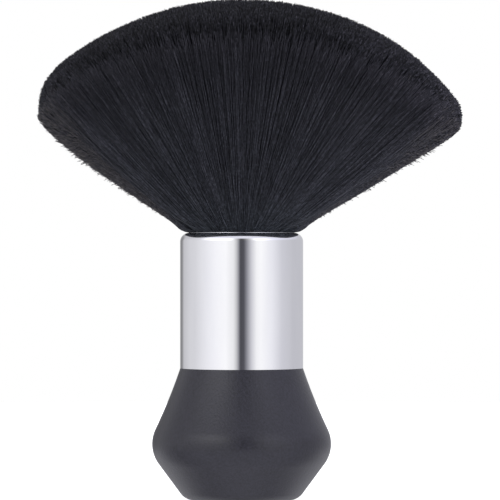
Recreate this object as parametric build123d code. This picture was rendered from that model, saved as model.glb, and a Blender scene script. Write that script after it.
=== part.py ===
"""Neck duster brush: a fanned bristle tuft in a turned-in metal ferrule, on a weighted two-cone knob.

Units are millimetres. +Z is up along the brush's axis, X is the fan's wide way and Y its thickness.
The origin is the middle of the foot, on the surface that the brush stands on.
"""

from math import radians, tan
import os

from build123d import *

# ---- knob: two cones that meet in a rounded belly ----
KNOB_HEIGHT = 31.4  # foot to the shoulder that the ferrule lands on
FOOT_CORNER_RADIUS = 13.45  # where the lower cone would meet the floor
BELLY_CORNER_RADIUS = 22.75  # where the two cones would meet
BELLY_CORNER_HEIGHT = 12.6
SIDE_HOLLOW = 0.4  # the upper cone's side bows inwards by this much
FOOT_ROUND = 4.0
BELLY_ROUND = 8.0
SPIGOT_HEIGHT = 10.0  # stands up inside the ferrule
SPIGOT_CHAMFER = 0.6
WEB_HEIGHT = 20.0  # underside of the solid web that the screw clamps

# ---- ferrule: drawn tube with a turned-in mouth ----
FERRULE_DIAMETER = 29.4
FERRULE_WALL = 0.5
FERRULE_LENGTH = 32.5  # bottom edge to the top of the lip
SHOULDER_ROUND = 2.0
MOUTH_DIAMETER = 24.7
LIP_HEIGHT = 0.2  # thin collar that stands round the mouth
LIP_WALL = 0.25
LIP_ROUND = 0.08
LIP_FILLET = 0.06

# ---- adhesive ring between spigot and ferrule ----
BOND_DEPTH = 0.5
BOND_HEIGHT = 4.0
BOND_FOOT = 2.5  # spigot's shoulder to the bottom of the groove

# ---- bristle cup, insert and cast root ----
CUP_WALL = 1.2
CUP_FLOOR = 3.0
CUP_TOP_GAP = 0.3  # below the ferrule's turned-in shoulder
BOSS_RADIUS = 4.6
BOSS_HEIGHT = 6.6
BOSS_ROOF = 1.4
INSERT_RADIUS = 2.9
INSERT_LENGTH = 6.0
INSERT_RECESS = 0.3
INSERT_GROOVE = 0.45
INSERT_KNURLS = 20
INSERT_KNURL_WIDTH = 0.4
INSERT_KNURL_DEPTH = 0.2
RESIN_COVER = 2.0  # over the boss

# ---- tuft ----
BINDING_THREAD = 0.8
BINDING_TURNS = 5
BINDING_PITCH = 0.9
TUFT_APEX = 56.0  # mouth to the highest tip
DOME_RADIUS = 70.0  # sphere that the tips are trimmed to
SIDE_SPLAY = 54.8  # degrees from the axis, along X
FRONT_SPLAY = 20.0  # degrees from the axis, along Y
RIM_ROUND = 7.0

# ---- screw, washer, weight and cap ----
SCREW_RADIUS = 2.0
SCREW_OVERRUN = 1.5  # tip past the insert, which makes the shank 30 long
SCREW_HEAD_RADIUS = 4.0
SCREW_HEAD_HEIGHT = 2.6
SCREW_HEAD_ROUND = 1.2
SCREW_TIP_CHAMFER = 0.5
RECESS_SPAN = 4.4
RECESS_SLOT = 1.0
RECESS_DEPTH = 1.6
WASHER_RADIUS = 4.8
WASHER_THICKNESS = 0.8
HEAD_BORE_RADIUS = 5.6
WEIGHT_SEAT_HEIGHT = 14.0
WEIGHT_RADIUS = 8.9
WEIGHT_LENGTH = 11.0
WEIGHT_CHAMFER = 0.5
CAP_RADIUS = 10.0
CAP_THICKNESS = 1.6
CAP_SKIRT_WALL = 1.0
CAP_SKIRT_HEIGHT = 0.9
CAP_DISH_RADIUS = 7.6
CAP_DISH_DEPTH = 0.4

# ---- clearances, each on a radius or a gap ----
GLUE_GAP = 0.05  # parts that are bonded or pressed
TUFT_GAP = 0.10  # filaments against the cup, thread and mouth
SCREW_GAP = 0.20  # screw in the knob's hole and in the washer
THREAD_GAP = 0.05  # plain shank in the insert's plain bore

# ---- places that follow from the sizes above ----
ferrule_outer = FERRULE_DIAMETER / 2
ferrule_inner = ferrule_outer - FERRULE_WALL
mouth_radius = MOUTH_DIAMETER / 2
mouth_height = KNOB_HEIGHT + FERRULE_LENGTH
shoulder_top = mouth_height - LIP_HEIGHT
shoulder_start = shoulder_top - SHOULDER_ROUND

spigot_radius = ferrule_inner - GLUE_GAP
spigot_top = KNOB_HEIGHT + SPIGOT_HEIGHT
bond_bottom = KNOB_HEIGHT + BOND_FOOT
bond_top = bond_bottom + BOND_HEIGHT
groove_radius = spigot_radius - BOND_DEPTH

cup_outer = ferrule_inner - GLUE_GAP
cup_inner = cup_outer - CUP_WALL
cup_bottom = spigot_top
cup_floor_top = cup_bottom + CUP_FLOOR
cup_top = shoulder_start - CUP_TOP_GAP
boss_top = cup_floor_top + BOSS_HEIGHT
insert_bore_top = boss_top - BOSS_ROOF
insert_bottom = cup_bottom + INSERT_RECESS
insert_top = insert_bottom + INSERT_LENGTH
insert_inner = SCREW_RADIUS + THREAD_GAP
resin_top = boss_top + RESIN_COVER

tuft_bottom = resin_top + GLUE_GAP
tuft_neck = min(mouth_radius, cup_inner) - TUFT_GAP
binding_radius = cup_inner - TUFT_GAP - BINDING_THREAD / 2
tuft_root = binding_radius - BINDING_THREAD / 2 - TUFT_GAP
binding_bottom = tuft_bottom + BINDING_THREAD
binding_height = BINDING_TURNS * BINDING_PITCH
root_top = binding_bottom + binding_height + BINDING_THREAD
apex_height = mouth_height + TUFT_APEX

screw_hole = SCREW_RADIUS + SCREW_GAP
screw_seat = WEB_HEIGHT - WASHER_THICKNESS
weight_bore = WEIGHT_RADIUS + GLUE_GAP
cap_seat_radius = CAP_RADIUS + GLUE_GAP


def spun(edges, rounds):
    """Solid of revolution about Z. The edges close its half section.

    rounds lists (corner, fillet radius).
    """
    section = make_face(edges)
    for corner, radius in rounds:
        section = fillet(section.vertices().sort_by_distance(corner)[0], radius)
    return revolve(Plane.XZ * section, Axis.Z)


def turned(outline, rounds=()):
    """Solid of revolution whose half section has straight sides, as (radius, height) corners."""
    return spun(Polyline(*outline, close=True), rounds)


def ring(inner, outer, bottom, top):
    """Plain ring about Z, or a disc if inner is 0."""
    return turned([(inner, bottom), (outer, bottom), (outer, top), (inner, top)])


def knob():
    """Handle with its spigot, the groove for adhesive, and the stepped bore from below."""
    foot = (FOOT_CORNER_RADIUS, 0)
    belly = (BELLY_CORNER_RADIUS, BELLY_CORNER_HEIGHT)
    shoulder = (ferrule_outer, KNOB_HEIGHT)
    side = SagittaArc(belly, shoulder, SIDE_HOLLOW)
    outline = [
        shoulder,
        (spigot_radius, KNOB_HEIGHT),
        (spigot_radius, bond_bottom),
        (groove_radius, bond_bottom),
        (groove_radius, bond_top),
        (spigot_radius, bond_top),
        (spigot_radius, spigot_top - SPIGOT_CHAMFER),
        (spigot_radius - SPIGOT_CHAMFER, spigot_top),
        (screw_hole, spigot_top),
        (screw_hole, WEB_HEIGHT),
        (HEAD_BORE_RADIUS, WEB_HEIGHT),
        (HEAD_BORE_RADIUS, WEIGHT_SEAT_HEIGHT),
        (weight_bore, WEIGHT_SEAT_HEIGHT),
        (weight_bore, CAP_THICKNESS),
        (cap_seat_radius, CAP_THICKNESS),
        (cap_seat_radius, 0),
        foot,
        belly,
    ]
    return spun([side, *Polyline(*outline).edges()], [(foot, FOOT_ROUND), (belly, BELLY_ROUND)])


def ferrule():
    """Tube whose top is turned in over a round shoulder and ends in a thin collar."""
    outer_corner = (ferrule_outer, shoulder_top)
    inner_corner = (ferrule_inner, shoulder_top - FERRULE_WALL)
    lip_foot = (mouth_radius + LIP_WALL, shoulder_top)
    lip_outer = (mouth_radius + LIP_WALL, mouth_height)
    lip_inner = (mouth_radius, mouth_height)
    outline = [
        (ferrule_outer, KNOB_HEIGHT),
        outer_corner,
        lip_foot,
        lip_outer,
        lip_inner,
        (mouth_radius, shoulder_top - FERRULE_WALL),
        inner_corner,
        (ferrule_inner, KNOB_HEIGHT),
    ]
    rounds = [
        (outer_corner, SHOULDER_ROUND),
        (inner_corner, SHOULDER_ROUND - FERRULE_WALL),
        (lip_foot, LIP_FILLET),
        (lip_outer, LIP_ROUND),
        (lip_inner, LIP_ROUND),
    ]
    return turned(outline, rounds)


def ferrule_bond():
    """Cured adhesive that fills the spigot's groove out to the ferrule."""
    return ring(
        groove_radius + GLUE_GAP / 2,
        ferrule_inner - GLUE_GAP / 2,
        bond_bottom + GLUE_GAP,
        bond_top - GLUE_GAP,
    )


def bristle_cup():
    """Cup for the root, with a roofed boss in its floor for the insert."""
    bore = INSERT_RADIUS + GLUE_GAP
    outline = [
        (bore, cup_bottom),
        (cup_outer, cup_bottom),
        (cup_outer, cup_top),
        (cup_inner, cup_top),
        (cup_inner, cup_floor_top),
        (BOSS_RADIUS, cup_floor_top),
        (BOSS_RADIUS, boss_top),
        (0, boss_top),
        (0, insert_bore_top),
        (bore, insert_bore_top),
    ]
    return turned(outline)


def threaded_insert():
    """Knurled brass insert with one turned groove. Its thread is a plain bore."""
    middle = (insert_bottom + insert_top) / 2
    half_groove = INSERT_LENGTH / 12
    groove = INSERT_RADIUS - INSERT_GROOVE
    body = turned(
        [
            (insert_inner, insert_bottom),
            (INSERT_RADIUS, insert_bottom),
            (INSERT_RADIUS, middle - half_groove),
            (groove, middle - half_groove),
            (groove, middle + half_groove),
            (INSERT_RADIUS, middle + half_groove),
            (INSERT_RADIUS, insert_top),
            (insert_inner, insert_top),
        ]
    )
    cutter = Box(INSERT_KNURL_WIDTH, 2 * INSERT_KNURL_DEPTH, 2 * INSERT_LENGTH)
    cuts = [
        Rot(0, 0, 360 * n / INSERT_KNURLS) * Pos(0, INSERT_RADIUS, middle) * cutter
        for n in range(INSERT_KNURLS)
    ]
    return body - cuts


def root_resin():
    """Cast block that the filament roots are set in. It fills the cup's floor round the boss."""
    outer = cup_inner - GLUE_GAP
    pocket = BOSS_RADIUS + GLUE_GAP
    bottom = cup_floor_top + GLUE_GAP
    pocket_top = boss_top + GLUE_GAP
    return turned(
        [
            (pocket, bottom),
            (outer, bottom),
            (outer, resin_top),
            (0, resin_top),
            (0, pocket_top),
            (pocket, pocket_top),
        ]
    )


def tuft_binding():
    """Thread wound round the root of the bundle."""
    path = Pos(0, 0, binding_bottom) * Helix(BINDING_PITCH, binding_height, binding_radius)
    end = Plane(origin=path @ 0, z_dir=path % 0)
    return sweep(end * Circle(BINDING_THREAD / 2), path=path, is_frenet=True)


def bristle_tuft():
    """Outer shape of the bundle: a round neck that fans out to an oval, trimmed by a sphere."""
    neck = turned(
        [
            (0, tuft_bottom),
            (tuft_root, tuft_bottom),
            (tuft_root, root_top),
            (tuft_neck, cup_top),
            (tuft_neck, mouth_height),
            (0, mouth_height),
        ]
    )
    oval = Ellipse(
        tuft_neck + TUFT_APEX * tan(radians(SIDE_SPLAY)),
        tuft_neck + TUFT_APEX * tan(radians(FRONT_SPLAY)),
    )
    flare = loft(
        [Plane.XY.offset(mouth_height) * Circle(tuft_neck), Plane.XY.offset(apex_height) * oval],
        ruled=True,
    )
    trimmed = flare & (Pos(0, 0, apex_height - DOME_RADIUS) * Sphere(DOME_RADIUS))
    rim = trimmed.faces().sort_by(Axis.Z)[-1].edges()
    return neck + fillet(rim, RIM_ROUND)


def clamp_screw():
    """Pan-head screw, head down, with a cross recess. Its thread is a plain shank."""
    head_bottom = screw_seat - SCREW_HEAD_HEIGHT
    tip = insert_top + SCREW_OVERRUN
    head_edge = (SCREW_HEAD_RADIUS, head_bottom)
    body = turned(
        [
            (0, head_bottom),
            head_edge,
            (SCREW_HEAD_RADIUS, screw_seat),
            (SCREW_RADIUS, screw_seat),
            (SCREW_RADIUS, tip - SCREW_TIP_CHAMFER),
            (SCREW_RADIUS - SCREW_TIP_CHAMFER, tip),
            (0, tip),
        ],
        [(head_edge, SCREW_HEAD_ROUND)],
    )
    slot = Pos(0, 0, head_bottom) * Box(RECESS_SPAN, RECESS_SLOT, 2 * RECESS_DEPTH)
    return body - slot - Rot(0, 0, 90) * slot


def screw_washer():
    """Flat washer between the screw's head and the web."""
    return ring(SCREW_RADIUS + SCREW_GAP, WASHER_RADIUS, screw_seat, WEB_HEIGHT)


def weight_slug():
    """Steel slug pressed up against the step in the bore."""
    bottom = WEIGHT_SEAT_HEIGHT - WEIGHT_LENGTH
    slug = ring(0, WEIGHT_RADIUS, bottom, WEIGHT_SEAT_HEIGHT)
    return chamfer(slug.edges().filter_by(GeomType.CIRCLE), WEIGHT_CHAMFER)


def base_cap():
    """Disc that closes the bore, with a locating skirt above and a shallow dish below."""
    skirt_outer = weight_bore - GLUE_GAP
    skirt_inner = skirt_outer - CAP_SKIRT_WALL
    skirt_top = CAP_THICKNESS + CAP_SKIRT_HEIGHT
    return turned(
        [
            (0, CAP_DISH_DEPTH),
            (CAP_DISH_RADIUS, CAP_DISH_DEPTH),
            (CAP_DISH_RADIUS, 0),
            (CAP_RADIUS, 0),
            (CAP_RADIUS, CAP_THICKNESS),
            (skirt_outer, CAP_THICKNESS),
            (skirt_outer, skirt_top),
            (skirt_inner, skirt_top),
            (skirt_inner, CAP_THICKNESS),
            (0, CAP_THICKNESS),
        ]
    )


PIECES = (
    knob,
    ferrule,
    ferrule_bond,
    bristle_cup,
    threaded_insert,
    root_resin,
    tuft_binding,
    bristle_tuft,
    clamp_screw,
    screw_washer,
    weight_slug,
    base_cap,
)

os.makedirs("parts", exist_ok=True)
for piece in PIECES:
    export_step(piece(), f"parts/{piece.__name__}.step")
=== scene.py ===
import math

import bpy
import numpy as np
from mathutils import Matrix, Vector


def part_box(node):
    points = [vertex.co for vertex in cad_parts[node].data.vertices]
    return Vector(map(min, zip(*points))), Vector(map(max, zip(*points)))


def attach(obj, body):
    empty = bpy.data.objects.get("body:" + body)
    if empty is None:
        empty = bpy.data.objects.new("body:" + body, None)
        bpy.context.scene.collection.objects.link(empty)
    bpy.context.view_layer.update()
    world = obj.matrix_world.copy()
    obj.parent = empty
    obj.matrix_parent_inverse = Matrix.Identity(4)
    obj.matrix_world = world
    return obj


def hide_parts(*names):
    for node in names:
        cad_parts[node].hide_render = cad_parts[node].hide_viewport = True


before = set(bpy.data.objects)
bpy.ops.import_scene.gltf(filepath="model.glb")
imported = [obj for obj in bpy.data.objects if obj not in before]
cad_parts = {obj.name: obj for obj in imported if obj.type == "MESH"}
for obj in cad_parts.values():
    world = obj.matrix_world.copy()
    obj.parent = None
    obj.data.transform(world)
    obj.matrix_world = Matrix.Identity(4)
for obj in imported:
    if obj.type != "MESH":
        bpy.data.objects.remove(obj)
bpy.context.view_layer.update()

# ---------------------------------------------------------------- sizes
MM = 0.001
SEED = 7
FERRULE_LOW, FERRULE_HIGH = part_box("ferrule")
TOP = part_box("bristle_tuft")[1][2]
MOUTH_Z = FERRULE_HIGH[2]
FERRULE_R = FERRULE_HIGH[0]
MOUTH_R = FERRULE_R * 0.832


def smooth(x, low, high):
    """0 below low, 1 above high, with a smooth step between."""
    t = np.clip((x - low) / (high - low), 0.0, 1.0)
    return t * t * (3 - 2 * t)


def waves(rng, count, low, high):
    """A smooth random function of two coordinates, about -1 to 1, as a sum of sine waves."""
    angle = rng.uniform(0, 2 * math.pi, count)
    size = rng.uniform(low, high, count)
    phase = rng.uniform(0, 2 * math.pi, count)
    kx, ky = size * np.cos(angle), size * np.sin(angle)

    def value(x, y):
        total = np.zeros(np.broadcast(x, y).shape)
        for a, b, c in zip(kx, ky, phase):
            total += np.sin(a * x + b * y + c)
        return total / math.sqrt(count / 2) * 0.6

    return value


# ---------------------------------------------------------------- shape of the bundle
# A filament is known by its place in the mouth: u along X and v along Y, inside the unit circle.
# Seen from the front, the fan's full-length tips are about equally far from a point below the mouth.
FOCUS_DROP = 8.4 * MM
LENGTH = TOP - MOUTH_Z + FOCUS_DROP - 0.2 * MM
WIDER = 1.0 * MM  # filaments that lean this way or that are a little longer than the middle ones
EDGE = 0.88  # of the bundle's radius: filaments beyond this, at the sides, end on the lower border
LEFT_LEAN = math.tan(math.radians(52.6))
RIGHT_LEAN = math.tan(math.radians(57.2))
FRONT_LEAN = math.tan(math.radians(27.9))
LEFT_CUT = 4.4 * MM  # how much shorter the tips get at the corner
RIGHT_CUT = 3.2 * MM
FRONT_CUT = 5.0 * MM
LEFT_RIM = 0.70  # share of the fan's radius where that begins
RIGHT_RIM = 0.82
FRONT_RIM = 0.74
BORDER_START = 12.9 * MM  # from the axis, where the lower border leaves the mouth
LEFT_BOW = 12.3 * MM
RIGHT_BOW = 8.0 * MM
LEFT_BOW_POWER = 1.3  # higher: the border is hollow for longer before it bows outwards
RIGHT_BOW_POWER = 2.6
LEFT_BEND = math.radians(8)  # outer filaments leave the mouth this much flatter than they end
RIGHT_BEND = math.radians(4.5)
LIP_OVERHANG = 1.9 * MM  # the outer filaments are pressed out over the collar of the mouth
LIP_RISE = 0.24 * MM  # within about this height
ROOT_DEPTH = 2 * MM  # how far the flank and the core reach down into the mouth
FRONT_SWELL = 0.36  # share of the way to the tip's depth that the middle control point has gone


def by_side(u, left, right):
    return np.where(u < 0, left, right)


def full_tips(u, v):
    """Where full-length filaments end, measured from the middle of the mouth."""
    rho = np.maximum(np.sqrt(u * u + v * v), 1e-6)
    frontal = (v / rho) ** 2
    edge = edge_of(u, rho)
    rim = by_side(u, LEFT_RIM, RIGHT_RIM) * (1 - frontal) + FRONT_RIM * frontal
    drop = by_side(u, LEFT_CUT, RIGHT_CUT) * (1 - frontal) + FRONT_CUT * frontal
    cut = np.clip((rho / edge - rim) / (1 - rim), 0, 1)
    wider = WIDER * smooth(np.abs(u), by_side(u, 0.20, 0.0), by_side(u, 0.62, 0.45))
    length = LENGTH + wider - drop * cut * cut
    lean_x = u / EDGE * by_side(u, LEFT_LEAN, RIGHT_LEAN)
    lean_y = v * FRONT_LEAN
    size = length / np.sqrt(lean_x**2 + lean_y**2 + 1)
    return lean_x * size, lean_y * size, size - FOCUS_DROP


def edge_of(u, rho):
    """The radius in the bundle beyond which filaments are cut to the lower border."""
    return 1 - (1 - EDGE) * smooth(np.abs(u) / rho, 0.70, 0.98)


def landing(u, v):
    """Where the tips of filaments from (u, v) are, and how far down the lower border they are, 0 to 1."""
    rho = np.maximum(np.sqrt(u * u + v * v), 1e-6)
    edge = edge_of(u, rho)
    side = (1 - edge) / (1 - EDGE)
    past = np.clip((rho - edge) / (1.0001 - edge), 0, 1) * side
    share = 1 - past * 0.97
    inside = np.minimum(rho, edge) / rho
    x, y, z = full_tips(u * inside, v * inside)
    start_x, start_y = u / rho * BORDER_START, v / rho * BORDER_START
    bow = share ** by_side(u, LEFT_BOW_POWER, RIGHT_BOW_POWER) * (1 - share) ** 0.6
    x = start_x + (x - start_x) * share + by_side(u, -LEFT_BOW, RIGHT_BOW) * bow * side
    y = start_y + (y - start_y) * share
    return x, y, z * share, past


# ---------------------------------------------------------------- meshes
def new_object(name, mesh, material):
    obj = bpy.data.objects.new(name, mesh)
    bpy.context.scene.collection.objects.link(obj)
    mesh.materials.append(material)
    return obj


def strands_mesh(name, lines, radii, tones, end_sheen, rng):
    """Closed three-sided prisms along lines (strand, step, xyz), with a map of one strip per side."""
    count, steps, _ = lines.shape
    tangent = np.gradient(lines, axis=1)
    tangent /= np.linalg.norm(tangent, axis=2, keepdims=True)
    roll = rng.uniform(0, 2 * math.pi, count)
    aside = np.stack([np.cos(roll), np.sin(roll), np.zeros(count)], axis=1)[:, None, :]
    side = np.cross(tangent, aside)
    side /= np.linalg.norm(side, axis=2, keepdims=True)
    other = np.cross(tangent, side)
    rings = []
    for k in range(3):
        a = 2 * math.pi * k / 3
        rings.append(lines + radii[..., None] * (math.cos(a) * side + math.sin(a) * other))
    verts = np.stack(rings, axis=2).reshape(-1, 3)

    base = (np.arange(count) * steps * 3)[:, None, None, None]
    step = np.arange(steps - 1)[None, :, None, None] * 3
    k = np.arange(3)[None, None, :, None]
    here = base + step + k
    beside = base + step + (k + 1) % 3
    quad = np.concatenate([here, beside, beside + 3, here + 3], axis=3).reshape(-1)
    first = (np.arange(count) * steps * 3)[:, None]
    root_cap = (first + np.array([2, 1, 0])).reshape(-1)
    tip_cap = (first + (steps - 1) * 3 + np.array([0, 1, 2])).reshape(-1)
    loops = np.concatenate([quad, root_cap, tip_cap]).astype(np.int32)
    quads = count * (steps - 1) * 3
    sizes = np.concatenate([np.full(quads, 4), np.full(2 * count, 3)])
    starts = np.concatenate([[0], np.cumsum(sizes)[:-1]]).astype(np.int32)

    mesh = bpy.data.meshes.new(name)
    mesh.vertices.add(len(verts))
    mesh.vertices.foreach_set("co", verts.astype(np.float32).reshape(-1))
    mesh.loops.add(len(loops))
    mesh.loops.foreach_set("vertex_index", loops)
    mesh.polygons.add(len(sizes))
    mesh.polygons.foreach_set("loop_start", starts)
    mesh.update(calc_edges=True)

    strips = count * 3
    columns = min(320, max(1, int(math.sqrt(strips * 8))))
    rows = math.ceil(strips / columns)
    strip = np.arange(strips)
    left = (strip % columns) / columns
    low = (strip // columns) / rows
    wide, tall = 0.82 / columns, 0.86 / rows
    s = np.arange(steps) / (steps - 1)
    s0, s1 = s[:-1], s[1:]
    u0 = np.repeat(left.reshape(count, 1, 3), steps - 1, axis=1)
    v0 = low.reshape(count, 1, 3) + tall * s0[None, :, None]
    v1 = low.reshape(count, 1, 3) + tall * s1[None, :, None]
    quad_uv = np.stack([u0, v0, u0 + wide, v0, u0 + wide, v1, u0, v1], axis=3).reshape(-1, 2)

    def cap_uv(row, column):
        x0 = left.reshape(count, 3)[:, column]
        y0 = low.reshape(count, 3)[:, 0] + row
        e = 0.1 / rows
        return np.stack([x0, y0, x0 + wide, y0, x0 + wide / 2, y0 + e], axis=1).reshape(-1, 2)

    uv = np.concatenate([quad_uv, cap_uv(tall + 0.02 / rows, 0), cap_uv(tall + 0.02 / rows, 1)])
    layer = mesh.uv_layers.new(name="OFBake")
    layer.data.foreach_set("uv", uv.astype(np.float32).reshape(-1))

    for label, values in (
        ("tone", np.repeat(tones, steps * 3)),
        ("end_sheen", np.repeat(end_sheen, steps * 3)),
        ("along", np.tile(np.repeat(s, 3), count)),
    ):
        attribute = mesh.attributes.new(label, "FLOAT", "POINT")
        attribute.data.foreach_set("value", values.astype(np.float32))
    mesh.polygons.foreach_set("use_smooth", np.ones(len(sizes), dtype=bool))
    mesh.validate()
    return mesh


rng = np.random.default_rng(SEED)
drift_x = waves(rng, 24, 6, 26)
drift_y = waves(rng, 24, 6, 26)
drift_far = waves(rng, 26, 30, 85)
length_wave = waves(rng, 16, 5, 18)
tone_wave = waves(rng, 30, 10, 70)
grain_wave = waves(rng, 40, 180, 420)


def bundle_lines(u, v, low, steps, rng, cut=None, curl=(5, 18), ragged=0.3, fuzz=0.0):
    """Centre lines of filaments, as (strand, step, xyz).

    low is the share of its length at which each line starts, and cut is the share at which it stops.
    curl is the range, in degrees, by which ends on the lower border turn outwards. ragged and fuzz say,
    in mm, how far tips stay inside the bundle's outline and how far some of them stand out of it.
    """
    count = len(u)
    # where the tip lands: neighbours drift together, and each filament strays a little on its own
    tip_u = u + 0.004 * drift_x(u, v) + 0.002 * drift_far(u, v) + rng.normal(0, 0.008, count)
    tip_v = v + 0.006 * drift_y(u, v) + 0.003 * drift_far(v, u) + rng.normal(0, 0.009, count)
    x2, y2, z2, past = landing(tip_u, tip_v)
    whole = np.maximum(np.sqrt(x2 * x2 + y2 * y2 + z2 * z2), 4 * MM)
    trim = 0.12 * MM * (1 + length_wave(u, v)) + np.abs(rng.normal(0, ragged * MM, count))
    trim = trim - fuzz * MM * rng.uniform(0, 1, count) ** 2.5 * (0.3 + 0.7 * smooth(past, 0.0, 0.25))
    end = 1 - np.clip(trim / whole, -0.12, 0.3)
    if cut is not None:
        end = end * cut
    x0, y0 = u * MOUTH_R, v * MOUTH_R
    t = low + (end[:, None] - low) * np.linspace(0, 1, steps)[None, :]
    # full-length filaments curve upwards; those cut to the lower border curl outwards at their ends
    upwards = by_side(u, LEFT_BEND, RIGHT_BEND) * np.minimum(np.abs(tip_u), 1) ** 1.5
    outwards = np.radians(rng.uniform(*curl, count))
    bend = np.tan(upwards * (1 - smooth(past, 0, 0.15)) - outwards * smooth(past, 0, 0.3)) / 2 * np.sign(u)
    x1 = (x0 + x2) / 2 + z2 * bend
    z1 = z2 / 2 - (x2 - x0) * bend
    y1 = y0 + (y2 - y0) * FRONT_SWELL
    a, b, c = (1 - t) ** 2, 2 * t * (1 - t), t * t
    x = a * x0[:, None] + b * x1[:, None] + c * x2[:, None]
    y = a * y0[:, None] + b * y1[:, None] + c * y2[:, None]
    z = b * z1[:, None] + c * z2[:, None]
    rho = np.sqrt(u * u + v * v)[:, None]
    pressed = LIP_OVERHANG * rho**6 * (1 - np.exp(-np.maximum(z, 0) / LIP_RISE)) * (1 - t)
    x = x + pressed * u[:, None] / np.maximum(rho, 1e-6)
    y = y + pressed * v[:, None] / np.maximum(rho, 1e-6)
    # a slight crimp, different in each filament
    turns = rng.uniform(55, 110, count)[:, None] * whole[:, None] * t + rng.uniform(0, 1, count)[:, None]
    size = rng.uniform(0.03, 0.20, count)[:, None] * MM * smooth(t, 0.02, 0.25)
    x = x + size * np.sin(turns * math.tau)
    y = y + size * np.cos(turns * math.tau * 0.8)
    # and an end that turns a little to one side
    swerve = rng.uniform(0, 0.35, count)[:, None] * MM * smooth(t, 0.93, 1.02)
    heading = rng.uniform(0, math.tau, count)[:, None]
    x = x + swerve * np.cos(heading)
    y = y + swerve * np.sin(heading)
    return np.stack([x, y, MOUTH_Z + z], axis=2)


GRAIN_APART = 977  # in the noise, the way from the palest filament's grain to the darkest one's
GRAINS = 36  # light and dark places along a filament
# colour of the painted sheen on cut ends
END_SHEEN_COLOUR = (0.098, 0.090, 0.090)


def material_nodes(name):
    material = bpy.data.materials.new(name)
    material.use_nodes = True
    tree = material.node_tree
    shader = tree.nodes["Principled BSDF"]
    return material, tree, shader


def node(tree, kind, **values):
    made = tree.nodes.new(kind)
    for key, value in values.items():
        if hasattr(made, key):
            setattr(made, key, value)
        else:
            made.inputs[key.replace("_", " ")].default_value = value
    return made


def ramp(tree, factor, stops):
    made = tree.nodes.new("ShaderNodeValToRGB")
    elements = made.color_ramp.elements
    while len(elements) < len(stops):
        elements.new(0.5)
    for element, (place, color) in zip(elements, stops):
        element.position = place
        element.color = (*color, 1)
    tree.links.new(factor, made.inputs["Fac"])
    return made


def mix(tree, factor, first, second, kind="MIX"):
    """A colour mixed from two. Each value is an output socket, a number or a colour."""
    made = node(tree, "ShaderNodeMix", data_type="RGBA", blend_type=kind)
    sockets = (made.inputs["Factor"], made.inputs[6], made.inputs[7])
    for value, socket in zip((factor, first, second), sockets):
        if isinstance(value, bpy.types.NodeSocket):
            tree.links.new(value, socket)
        else:
            socket.default_value = value
    return made.outputs[2]


def grey(level, tint=1.0):
    """A grey whose blue is stronger by the tint."""
    return level, level, level * tint


def times(tree, value, factor):
    made = node(tree, "ShaderNodeMath", operation="MULTIPLY")
    made.inputs[1].default_value = factor
    tree.links.new(value, made.inputs[0])
    return made.outputs[0]


def filament_material(name, tip_light_and_shade):
    """Dark synthetic fibre. The second argument is how strongly clusters of tips get painted light and
    shade: some lighter, as if lit, some darker, as if in the shade between them.
    """
    material, tree, shader = material_nodes(name)
    links = tree.links
    tone = node(tree, "ShaderNodeAttribute", attribute_name="tone").outputs["Fac"]
    along = node(tree, "ShaderNodeAttribute", attribute_name="along").outputs["Fac"]
    end_sheen = node(tree, "ShaderNodeAttribute", attribute_name="end_sheen").outputs["Fac"]

    colour = ramp(
        tree,
        tone,
        [
            (0.0, (0.0060, 0.0063, 0.0085)),
            (0.5, (0.0185, 0.0190, 0.0255)),
            (0.85, (0.036, 0.036, 0.047)),
            (1.0, (0.085, 0.082, 0.092)),
        ],
    ).outputs["Color"]
    # tinted at the root; over the last tenth towards the tip a painted highlight makes the filament up to
    # half again lighter, as if its end caught the light
    root_tint_tip_highlight = ramp(
        tree,
        along,
        [
            (0.0, (0.92, 1.16, 1.12)),
            (0.3, (0.95, 1.0, 1.0)),
            (0.9, (1.0, 1.0, 1.0)),
            (1.0, (1.5, 1.45, 1.4)),
        ],
    ).outputs["Color"]
    colour = mix(tree, 1.0, colour, root_tint_tip_highlight, "MULTIPLY")
    # uneven along each filament: the noise is looked up by the filament's own tone
    place = node(tree, "ShaderNodeCombineXYZ")
    links.new(times(tree, tone, GRAIN_APART), place.inputs["X"])
    links.new(times(tree, along, GRAINS), place.inputs["Y"])
    uneven = node(tree, "ShaderNodeTexNoise", Scale=1.0, Detail=2.0)
    links.new(place.outputs[0], uneven.inputs["Vector"])
    grain = ramp(tree, uneven.outputs["Fac"], [(0.3, grey(0.76)), (0.7, grey(1.26))]).outputs["Color"]
    colour = mix(tree, 1.0, colour, grain, "MULTIPLY")
    # painted light and shade: clusters of tips made lighter, as if lit, and darker, as if in the shade
    # between them
    where = node(tree, "ShaderNodeTexCoord")
    cluster = node(tree, "ShaderNodeTexNoise", Scale=1900.0, Detail=1.0)
    links.new(where.outputs["Object"], cluster.inputs["Vector"])
    painted_tip_light_shade = ramp(
        tree,
        cluster.outputs["Fac"],
        [(0.36, (0.22, 0.22, 0.23)), (0.5, grey(0.8)), (0.62, (2.6, 2.55, 2.5))],
    )
    colour = mix(tree, tip_light_and_shade, colour, painted_tip_light_shade.outputs["Color"], "MULTIPLY")
    # painted sheen: cut ends on the lower border are made paler and browner, in place of rim light from the
    # sides
    pale = node(tree, "ShaderNodeMath", operation="MULTIPLY")
    ends = node(tree, "ShaderNodeMapRange", interpolation_type="SMOOTHSTEP")
    ends.inputs["From Min"].default_value = 0.72
    ends.inputs["From Max"].default_value = 1.0
    links.new(along, ends.inputs["Value"])
    links.new(ends.outputs["Result"], pale.inputs[0])
    links.new(end_sheen, pale.inputs[1])
    colour = mix(tree, pale.outputs[0], colour, (*END_SHEEN_COLOUR, 1))
    links.new(colour, shader.inputs["Base Color"])
    shader.inputs["Roughness"].default_value = 0.5
    shader.inputs["Specular IOR Level"].default_value = 0.22
    return material


fibre = filament_material("bristle_fibre", 0.4)
tip_fibre = filament_material("bristle_tips", 1.0)


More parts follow.
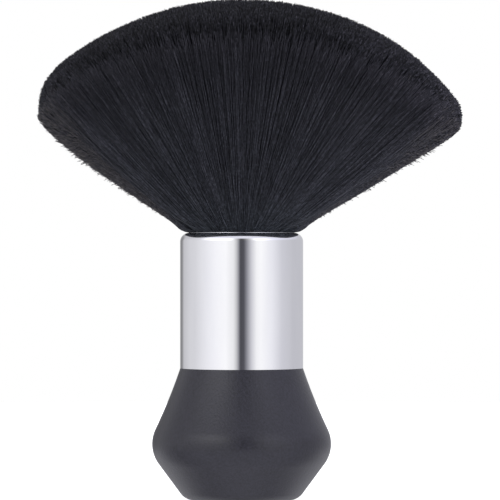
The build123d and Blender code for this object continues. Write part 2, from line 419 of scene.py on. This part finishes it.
def add_bristles(name, material, lines, radius, tones, end_sheen, rng, thin=0.45):
    """One piece of the bundle, made of filaments that get thinner towards their tips."""
    steps = lines.shape[1]
    profile = 1 - (1 - thin) * smooth(np.linspace(0, 1, steps), 0.72, 1.0)
    radii = radius[:, None] * profile[None, :]
    obj = new_object(name, strands_mesh(name, lines, radii, tones, end_sheen, rng), material)
    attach(obj, "root")
    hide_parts("bristle_tuft")


def disk(rng, count, inner, outer):
    """Random places in the ring between two radii of the unit circle."""
    r = np.sqrt(rng.uniform(inner**2, outer**2, count))
    a = rng.uniform(0, 2 * math.pi, count)
    return r * np.cos(a), r * np.sin(a)


def tone_of(u, v, rng, lift=0.0):
    """How light each filament is, 0 to 1."""
    return np.clip(0.46 + 0.08 * tone_wave(u, v) + rng.normal(0, 0.065, len(u)) + lift, 0, 1)


# flank: the outer layers, whole length, in pieces from the front to the back
FLANK = 16000
SKIN = 7000  # of them in the outermost layer
FLANK_STEPS = 9
FLANK_PIECES = 5
inner_u, inner_v = disk(rng, FLANK - SKIN, 0.74, 1.0)
skin_u, skin_v = disk(rng, SKIN, 0.93, 1.0)
u, v = np.concatenate([inner_u, skin_u]), np.concatenate([inner_v, skin_v])
order = np.argsort(v)
u, v = u[order], v[order]
stub = rng.uniform(0, 1, FLANK) < 0.06
cut = np.where(stub, rng.uniform(0.35, 0.98, FLANK), 1.0)
lines = bundle_lines(u, v, 0.0, FLANK_STEPS, rng, cut)
root = lines[:, :1, :] - np.array([0, 0, ROOT_DEPTH])
lines = np.concatenate([root, lines], axis=1)
# painted light: the right side of the flank is made lighter, as if lit more strongly from the right
tone = tone_of(u, v, rng, np.where(stub, 0.06, 0.0) + 0.015 + 0.10 * smooth(u, 0.1, 0.6))
past = landing(u, v)[3]
# painted sheen on flank filaments that end on the lower border
end_sheen = np.where(past > 0.02, rng.uniform(0.1, 0.4, FLANK), 0.0)
radius = rng.uniform(0.07, 0.105, FLANK) * MM
for part, chosen in enumerate(np.array_split(np.arange(FLANK), FLANK_PIECES)):
    add_bristles(
        f"bristles_flank_{part + 1}", fibre, lines[chosen], radius[chosen], tone[chosen], end_sheen[chosen], rng
    )

# crown: the inner filaments, which only show their tips
CROWN = 30000
CROWN_PIECES = 3
u, v = disk(rng, CROWN, 0.0, 0.90)
order = np.argsort(v)
u, v = u[order], v[order]
speck = rng.uniform(0, 1, CROWN) < 0.10
clump = grain_wave(u, v)
lines = bundle_lines(u, v, 0.89, 3, rng, 1 - 0.004 * np.clip(clump, 0, 1), ragged=0.25, fuzz=0.9)
# painted shade: the crown is made much darker, as a top lit only weakly; painted light: lighter towards the
# right side
tone = tone_of(u, v, rng, -0.38 - 0.10 * clump + np.where(speck, 0.35, 0.0) + 0.31 * smooth(u, 0.1, 0.7))
radius = rng.uniform(0.09, 0.12, CROWN) * MM
for part, chosen in enumerate(np.array_split(np.arange(CROWN), CROWN_PIECES)):
    add_bristles(
        f"bristles_crown_{part + 1}",
        tip_fibre,
        lines[chosen],
        radius[chosen],
        tone[chosen],
        0 * tone[chosen],
        rng,
        thin=0.85,
    )

# border: short cut ends that curl outwards along both lower edges of the fan
BORDER = 6000
for label, sign in (("left", -1), ("right", 1)):
    rho = np.sqrt(rng.uniform((EDGE - 0.02) ** 2, 1.0, BORDER))
    swing = rng.normal(0, 0.24, BORDER)
    u, v = sign * rho * np.cos(swing), rho * np.sin(swing)
    lines = bundle_lines(u, v, 0.80, 5, rng, curl=(15, 60), ragged=0.55, fuzz=1.15)
    tone = tone_of(u, v, rng, 0.05)
    # painted sheen on the cut ends of the border
    end_sheen = rng.uniform(0.1, 1.0, BORDER) ** 1.8
    radius = rng.uniform(0.07, 0.10, BORDER) * MM
    add_bristles(f"bristles_border_{label}", fibre, lines, radius, tone, end_sheen, rng, thin=0.7)


def core_material():
    material, tree, shader = material_nodes("bristle_core")
    links = tree.links
    where = node(tree, "ShaderNodeTexCoord")
    noise = node(tree, "ShaderNodeTexNoise", Scale=900.0, Detail=3.0)
    links.new(where.outputs["Object"], noise.inputs["Vector"])
    colour = ramp(
        tree,
        noise.outputs["Fac"],
        [(0.3, (0.016, 0.016, 0.021)), (0.7, (0.034, 0.034, 0.043))],
    )
    links.new(colour.outputs["Color"], shader.inputs["Base Color"])
    shader.inputs["Roughness"].default_value = 0.9
    shader.inputs["Specular IOR Level"].default_value = 0.1
    return material


def core_mesh(name):
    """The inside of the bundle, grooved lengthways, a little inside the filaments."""
    around = 240
    flank_steps = 26
    crown_steps = 14
    angle = np.linspace(0, 2 * math.pi, around, endpoint=False)
    groove = waves(np.random.default_rng(SEED + 1), 30, 30, 90)
    rows = []
    cu, cv = np.cos(angle), np.sin(angle)
    edge = 0.81 + 0.02 * groove(cu, cv)
    x2, y2, z2, _ = landing(edge * cu, edge * cv)
    x0, y0 = edge * cu * MOUTH_R, edge * cv * MOUTH_R
    for s in np.linspace(0, 0.90, flank_steps):
        a, b, c = (1 - s) ** 2, 2 * s * (1 - s), s * s
        bend = np.tan(by_side(cu, LEFT_BEND, RIGHT_BEND) * np.abs(edge * cu) ** 1.5) / 2
        x = a * x0 + b * ((x0 + x2) / 2 + z2 * bend * np.sign(cu)) + c * x2
        y = a * y0 + b * (y0 + (y2 - y0) * FRONT_SWELL) + c * y2
        z = b * (z2 / 2 - np.abs(x2 - x0) * bend) + c * z2
        rows.append(np.stack([x, y, MOUTH_Z + z - (ROOT_DEPTH if s == 0 else 0)], axis=1))
    for share in np.linspace(1, 0.06, crown_steps)[1:]:
        x2, y2, z2, _ = landing(edge * cu * share, edge * cv * share)
        rows.append(np.stack([x2 * 0.92, y2 * 0.92, MOUTH_Z + z2 * 0.90], axis=1))
    verts = np.concatenate(rows)
    faces = []
    for r in range(len(rows) - 1):
        for a in range(around):
            b = (a + 1) % around
            faces.append((r * around + a, r * around + b, (r + 1) * around + b, (r + 1) * around + a))
    faces.append(tuple(reversed(range(around))))
    faces.append(tuple((len(rows) - 1) * around + a for a in range(around)))
    mesh = bpy.data.meshes.new(name)
    mesh.from_pydata(verts.tolist(), [], faces)
    mesh.update()
    return mesh


core = new_object("bristle_core", core_mesh("bristle_core"), core_material())
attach(core, "root")
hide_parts("bristle_tuft")


# ---------------------------------------------------------------- materials of the CAD nodes
def give(node_name, material):
    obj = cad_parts[node_name]
    obj.data.materials.clear()
    obj.data.materials.append(material)


def detailed(
    name, low, high, scale, rough, bump, metallic=0.0, stretch=(1, 1, 1), distance=0.05, finer=4
):
    """Procedural material: a colour that varies between two, with varied roughness and a fine bump.

    distance is the bump's height in mm, and finer how many times finer it is than the colour's noise.
    """
    material, tree, shader = material_nodes(name)
    links = tree.links
    where = node(tree, "ShaderNodeTexCoord")
    place = node(tree, "ShaderNodeMapping")
    place.inputs["Scale"].default_value = stretch
    links.new(where.outputs["Object"], place.inputs["Vector"])
    noise = node(tree, "ShaderNodeTexNoise", Scale=scale, Detail=4.0)
    links.new(place.outputs["Vector"], noise.inputs["Vector"])
    colour = ramp(tree, noise.outputs["Fac"], [(0.35, low), (0.65, high)])
    links.new(colour.outputs["Color"], shader.inputs["Base Color"])
    roughness = node(tree, "ShaderNodeMapRange")
    roughness.inputs["To Min"].default_value = rough[0]
    roughness.inputs["To Max"].default_value = rough[1]
    links.new(noise.outputs["Fac"], roughness.inputs["Value"])
    links.new(roughness.outputs["Result"], shader.inputs["Roughness"])
    shader.inputs["Metallic"].default_value = metallic
    if bump:
        fine = node(tree, "ShaderNodeTexNoise", Scale=scale * finer, Detail=3.0)
        links.new(place.outputs["Vector"], fine.inputs["Vector"])
        lift = node(tree, "ShaderNodeBump", Strength=bump, Distance=distance * MM)
        links.new(fine.outputs["Fac"], lift.inputs["Height"])
        links.new(lift.outputs["Normal"], shader.inputs["Normal"])
    return material


chrome = detailed(
    "chrome",
    (0.90, 0.90, 0.935),
    (0.93, 0.93, 0.96),
    260.0,
    (0.03, 0.07),
    0.0,
    metallic=1.0,
    stretch=(1, 1, 0.2),
)


def lathe(name, outline, material, around=224):
    """A closed outline of (radius, height) points, turned round the Z axis."""
    angle = np.linspace(0, 2 * math.pi, around, endpoint=False)
    outline = np.array(outline)
    x = outline[:, 0][:, None] * np.cos(angle)
    y = outline[:, 0][:, None] * np.sin(angle)
    z = np.repeat(outline[:, 1][:, None], around, axis=1)
    rows = len(outline)
    row = np.arange(rows)[:, None] * around
    next_row = (np.arange(rows)[:, None] + 1) % rows * around
    here = np.arange(around)[None, :]
    beside = (here + 1) % around
    faces = np.stack([row + here, row + beside, next_row + beside, next_row + here], axis=2).reshape(-1, 4)
    mesh = bpy.data.meshes.new(name)
    mesh.from_pydata(np.stack([x, y, z], axis=2).reshape(-1, 3).tolist(), [], faces.tolist())
    mesh.polygons.foreach_set("use_smooth", np.ones(len(faces), dtype=bool))
    mesh.set_sharp_from_angle(angle=math.radians(40))
    return new_object(name, mesh, material)


def arc(r, z, radius, start, end, steps):
    """Points of an arc round (r, z) from one angle to another, in degrees from straight outwards."""
    turns = np.radians(np.linspace(start, end, steps))
    return [(r + radius * math.cos(a), z + radius * math.sin(a)) for a in turns]


# the ferrule: a thin tube with a round shoulder and a fine bead round its mouth
WALL = 0.5 * MM
SHOULDER = 2.1 * MM
BEAD = 0.045 * MM
EDGE_BREAK = 0.08 * MM  # at the tube's foot
INSIDE = MOUTH_R + 0.1 * MM
bead_r = MOUTH_R + 0.39 * MM
neck_z = MOUTH_Z - 2 * BEAD
foot_z = FERRULE_LOW[2]
tube = [(FERRULE_R - EDGE_BREAK, foot_z)]
tube += [(FERRULE_R, z) for z in np.linspace(foot_z + EDGE_BREAK, neck_z - SHOULDER, 12)][:-1]
tube += arc(FERRULE_R - SHOULDER, neck_z - SHOULDER, SHOULDER, 0, 90, 20)
tube += arc(bead_r, neck_z + BEAD, BEAD, -90, 90, 10)
tube += [(INSIDE, MOUTH_Z), (INSIDE, neck_z - WALL)]
tube += arc(FERRULE_R - SHOULDER, neck_z - SHOULDER, SHOULDER - WALL, 90, 0, 10)
tube += [(FERRULE_R - WALL, foot_z)]
ferrule = lathe("ferrule_tube", tube, chrome)
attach(ferrule, "root")
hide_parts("ferrule")

soft_touch = detailed(
    "soft_touch",
    (0.0095, 0.0093, 0.0145),
    (0.0165, 0.0160, 0.0245),
    1900.0,
    (0.24, 0.40),
    1.0,
    distance=0.055,
    finer=1.2,
)
cap_plastic = detailed("cap_plastic", (0.015, 0.015, 0.017), (0.022, 0.022, 0.024), 900.0, (0.45, 0.6), 0.3)
cup_plastic = detailed("cup_plastic", (0.09, 0.09, 0.10), (0.12, 0.12, 0.13), 700.0, (0.4, 0.55), 0.2)
epoxy = detailed("epoxy", (0.62, 0.54, 0.34), (0.74, 0.66, 0.46), 300.0, (0.15, 0.3), 0.15)
root_epoxy = detailed("root_epoxy", (0.22, 0.17, 0.11), (0.36, 0.29, 0.2), 220.0, (0.18, 0.32), 0.2)
thread = detailed("thread", (0.03, 0.03, 0.035), (0.07, 0.07, 0.08), 2600.0, (0.7, 0.85), 0.6)
brass = detailed("brass", (0.70, 0.50, 0.22), (0.82, 0.64, 0.32), 500.0, (0.22, 0.4), 0.2, metallic=1.0)
zinc = detailed("zinc", (0.52, 0.53, 0.55), (0.64, 0.65, 0.68), 600.0, (0.25, 0.42), 0.2, metallic=1.0)
turned_steel = detailed(
    "turned_steel",
    (0.40, 0.40, 0.41),
    (0.52, 0.52, 0.53),
    500.0,
    (0.3, 0.5),
    0.2,
    metallic=1.0,
    stretch=(1, 1, 8),
)
give("knob", soft_touch)
give("base_cap", cap_plastic)
give("bristle_cup", cup_plastic)
give("ferrule_bond", epoxy)
give("root_resin", root_epoxy)
give("tuft_binding", thread)
give("threaded_insert", brass)
give("clamp_screw", zinc)
give("screw_washer", zinc)
give("weight_slug", turned_steel)


# ---------------------------------------------------------------- floor, light and camera
def floor():
    mesh = bpy.data.meshes.new("floor")
    r = 0.6
    around = 96
    angles = np.linspace(0, 2 * math.pi, around, endpoint=False)
    ring = [(r * math.cos(a), r * math.sin(a), 0) for a in angles]
    mesh.from_pydata(ring, [], [tuple(range(around))])
    material, tree, shader = material_nodes("floor")
    shader.inputs["Base Color"].default_value = (0.80, 0.80, 0.80, 1)
    shader.inputs["Emission Color"].default_value = (1, 1, 1, 1)
    shader.inputs["Emission Strength"].default_value = 0.80
    shader.inputs["Roughness"].default_value = 0.9
    shader.inputs["Specular IOR Level"].default_value = 0.1
    # seen from below it lets the view through
    clear = node(tree, "ShaderNodeBsdfTransparent")
    facing = node(tree, "ShaderNodeNewGeometry")
    either = node(tree, "ShaderNodeMixShader")
    tree.links.new(facing.outputs["Backfacing"], either.inputs[0])
    tree.links.new(shader.outputs[0], either.inputs[1])
    tree.links.new(clear.outputs[0], either.inputs[2])
    tree.links.new(either.outputs[0], tree.nodes["Material Output"].inputs["Surface"])
    obj = new_object("floor", mesh, material)
    obj.location.z = -0.02 * MM
    obj.visible_glossy = False


floor()


CHROME_REFLECTS = 0.91
CEILING = (0.80, 0.80, 0.88)
WHITE = (1, 1, 1, 1)


def studio():
    """A world that is plain white to the camera and has softboxes in reflections."""
    world = bpy.data.worlds.new("studio")
    bpy.context.scene.world = world
    world.use_nodes = True
    tree = world.node_tree
    links = tree.links
    background = tree.nodes["Background"]
    where = node(tree, "ShaderNodeTexCoord")
    split = node(tree, "ShaderNodeSeparateXYZ")
    links.new(where.outputs["Generated"], split.inputs["Vector"])
    turn = node(tree, "ShaderNodeMath", operation="ARCTAN2")
    links.new(split.outputs["X"], turn.inputs[0])
    links.new(times(tree, split.outputs["Y"], -1), turn.inputs[1])
    share = node(tree, "ShaderNodeMapRange")
    share.inputs["From Min"].default_value = -math.pi
    share.inputs["From Max"].default_value = math.pi
    links.new(turn.outputs[0], share.inputs["Value"])

    def stop(degrees, value, tint=1.0):
        """A place round the horizon, 0 towards the viewer, and how bright chrome looks that reflects it."""
        return (degrees + 180) / 360, grey(value / CHROME_REFLECTS, tint)

    around = ramp(
        tree,
        share.outputs["Result"],
        [
            stop(-180, 0.60, 1.02),
            stop(-163, 0.26, 1.02),
            stop(-150, 0.22, 1.02),
            stop(-138, 0.52, 1.03),
            stop(-114, 0.62, 1.03),
            stop(-98, 0.64, 1.03),
            stop(-66, 0.80, 1.03),
            stop(-50, 0.88, 1.02),
            stop(-30, 0.94),
            stop(-15, 0.80),
            stop(-10, 0.58),
            stop(-6, 0.31, 1.08),
            stop(-2.5, 0.068, 1.15),
            stop(4.5, 0.085, 1.15),
            stop(10, 0.26, 1.10),
            stop(18.5, 0.59, 1.05),
            stop(28, 0.88),
            stop(36, 0.93),
            stop(58, 0.80, 1.04),
            stop(80, 0.60, 1.06),
            stop(110, 0.51, 1.06),
            stop(160, 0.50, 1.06),
            stop(180, 0.60, 1.03),
        ],
    )
    # above eye level there are two softboxes with a dim gap between them
    boxes = ramp(
        tree,
        share.outputs["Result"],
        [
            stop(-180, 0.45),
            stop(-125, 0.52, 1.05),
            stop(-90, 0.64, 1.05),
            stop(-66, 1.30, 1.03),
            stop(-45, 2.05, 1.03),
            stop(-28, 2.05),
            stop(-15, 0.80),
            stop(-6, 0.29),
            stop(-2.5, 0.07),
            stop(3.5, 0.09),
            stop(9, 0.26),
            stop(18, 0.62),
            stop(30, 1.35, 1.05),
            stop(44, 1.30, 1.12),
            stop(64, 0.85, 1.14),
            stop(88, 0.70, 1.14),
            stop(160, 0.50, 1.08),
            stop(180, 0.45),
        ],
    )

    def fade(low, high):
        """0 below a direction's height low, 1 above high."""
        made = node(tree, "ShaderNodeMapRange", interpolation_type="SMOOTHSTEP")
        made.inputs["From Min"].default_value = low
        made.inputs["From Max"].default_value = high
        links.new(split.outputs["Z"], made.inputs["Value"])
        return made.outputs["Result"]

    below = ramp(
        tree,
        share.outputs["Result"],
        [
            stop(-180, 0.30, 1.04),
            stop(-135, 0.85, 1.06),
            stop(-98, 0.35, 1.04),
            stop(-60, 0.78, 1.10),
            stop(60, 0.78, 1.10),
            stop(98, 0.45, 1.04),
            stop(135, 0.85, 1.06),
            stop(180, 0.30, 1.04),
        ],
    )
    light = mix(tree, fade(-0.22, -0.07), below.outputs["Color"], around.outputs["Color"])
    light = mix(tree, fade(0.16, 0.40), light, boxes.outputs["Color"])
    light = mix(tree, fade(0.50, 0.76), light, (*CEILING, 1))
    path = node(tree, "ShaderNodeLightPath")
    links.new(mix(tree, path.outputs["Is Camera Ray"], light, WHITE), background.inputs["Color"])
    background.inputs["Strength"].default_value = 1.0


studio()


def side_light(name, x, power, color):
    """A large soft light at one side that shows in no reflection."""
    light = bpy.data.lights.new(name, "AREA")
    light.color = color
    light.size = 0.6
    light.energy = power
    obj = bpy.data.objects.new(name, light)
    obj.location = (x, -0.30, 0.30)
    obj.rotation_euler = (math.radians(72), 0, math.atan2(x, 0.30))
    obj.visible_camera = False
    obj.visible_glossy = False
    bpy.context.scene.collection.objects.link(obj)


side_light("left_light", -0.85, 2.3, (1, 1, 1))
side_light("right_light", 0.85, 4.2, (0.94, 0.93, 1))

EYE_ACROSS = 2.0 * MM
EYE_BACK = 0.936
SEEN_ACROSS = 119.5 * MM  # width of the picture at the brush
SENSOR = 36
camera = bpy.data.cameras.new("camera")
camera.sensor_width = SENSOR
camera.lens = SENSOR * EYE_BACK / SEEN_ACROSS
camera_object = bpy.data.objects.new("camera", camera)
camera_object.location = (EYE_ACROSS, -EYE_BACK, TOP * 0.498)
camera_object.rotation_euler = (math.pi / 2, 0, 0)
bpy.context.scene.collection.objects.link(camera_object)
bpy.context.scene.camera = camera_object
bpy.context.scene.view_settings.view_transform = "Standard"
